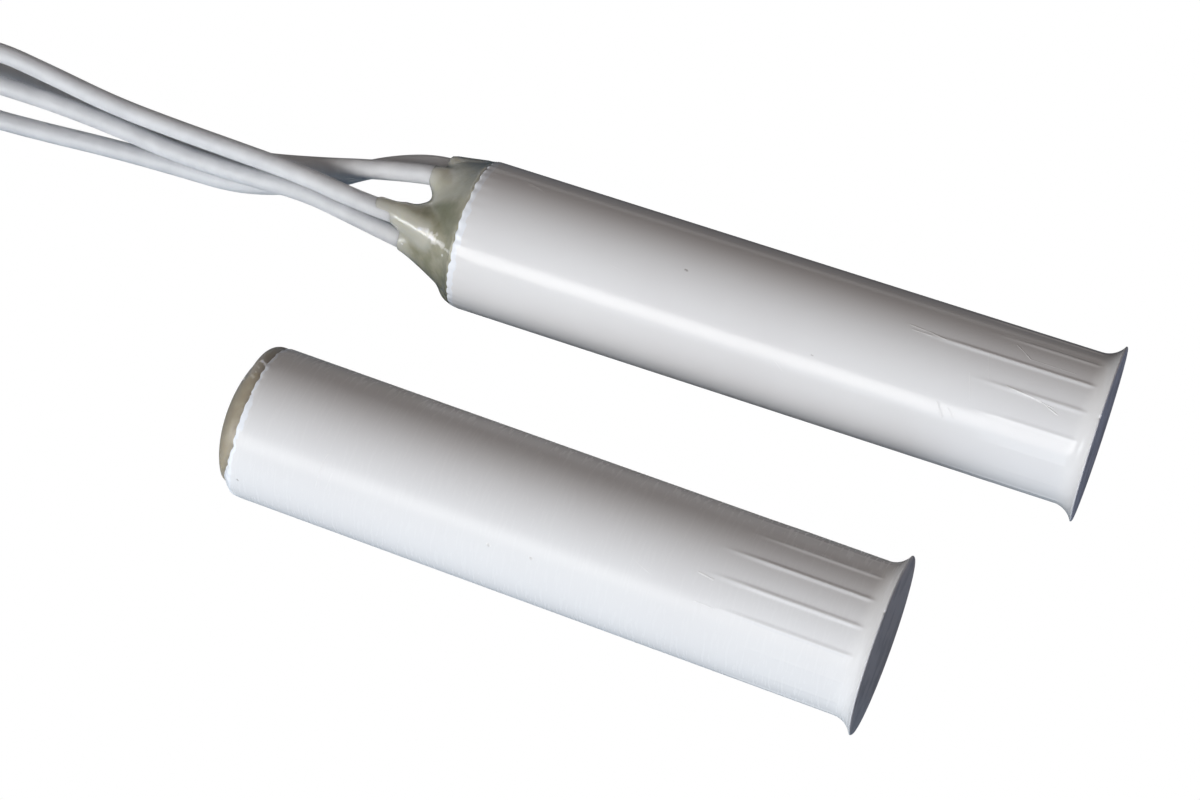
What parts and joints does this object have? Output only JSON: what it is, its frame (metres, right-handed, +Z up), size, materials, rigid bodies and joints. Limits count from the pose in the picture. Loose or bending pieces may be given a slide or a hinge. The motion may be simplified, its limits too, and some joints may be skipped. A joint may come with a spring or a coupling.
{
  "type": "recessed magnetic contact",
  "caption": "Press-in reed switch barrel with flying leads and its matching magnet barrel, each with a flared flange and crush ribs for a drilled hole.",
  "frame": {"origin": "on the surface both barrels lie on, under the middle of the two barrels taken together (the leads not counted)", "axes": "+X along the switch barrel towards its flange, +Y from the magnet barrel to the switch barrel, +Z up from the surface they lie on"},
  "size_m": [0.0915, 0.0304, 0.0093],
  "materials": {
    "housing": "light grey moulded plastic, fine satin",
    "resin": "glossy olive-grey potting resin, a little translucent",
    "insulation": "pale grey vinyl insulation, satin",
    "tinned_copper": "tinned copper, dull bright",
    "reed_alloy": "nickel-iron blade, plain",
    "capsule_glass": "clear greenish glass",
    "solder": "dull solder",
    "magnet_alloy": "dark sintered bar magnet",
    "tie_plastic": "natural moulded tie"
  },
  "bodies": {
    "root": {"switch_housing": "housing", "switch_potting": "resin", "reed_glass": "capsule_glass", "reed_blade_front": "reed_alloy", "reed_blade_rear": "reed_alloy", "solder_joint_front": "solder", "solder_joint_rear": "solder", "solder_joint_tamper": "solder", "alarm_lead_a": "insulation", "alarm_lead_b": "insulation", "tamper_lead_a": "insulation", "tamper_lead_b": "insulation", "alarm_core_a": "tinned_copper", "alarm_core_b": "tinned_copper", "tamper_core_a": "tinned_copper", "tamper_core_b": "tinned_copper", "alarm_tip_a": "tinned_copper", "alarm_tip_b": "tinned_copper", "tamper_tip_a": "tinned_copper", "tamper_tip_b": "tinned_copper", "lead_coil": "insulation", "lead_tie": "tie_plastic", "magnet_housing": "housing", "magnet": "magnet_alloy", "magnet_potting": "resin"}
  },
  "joints": []
}
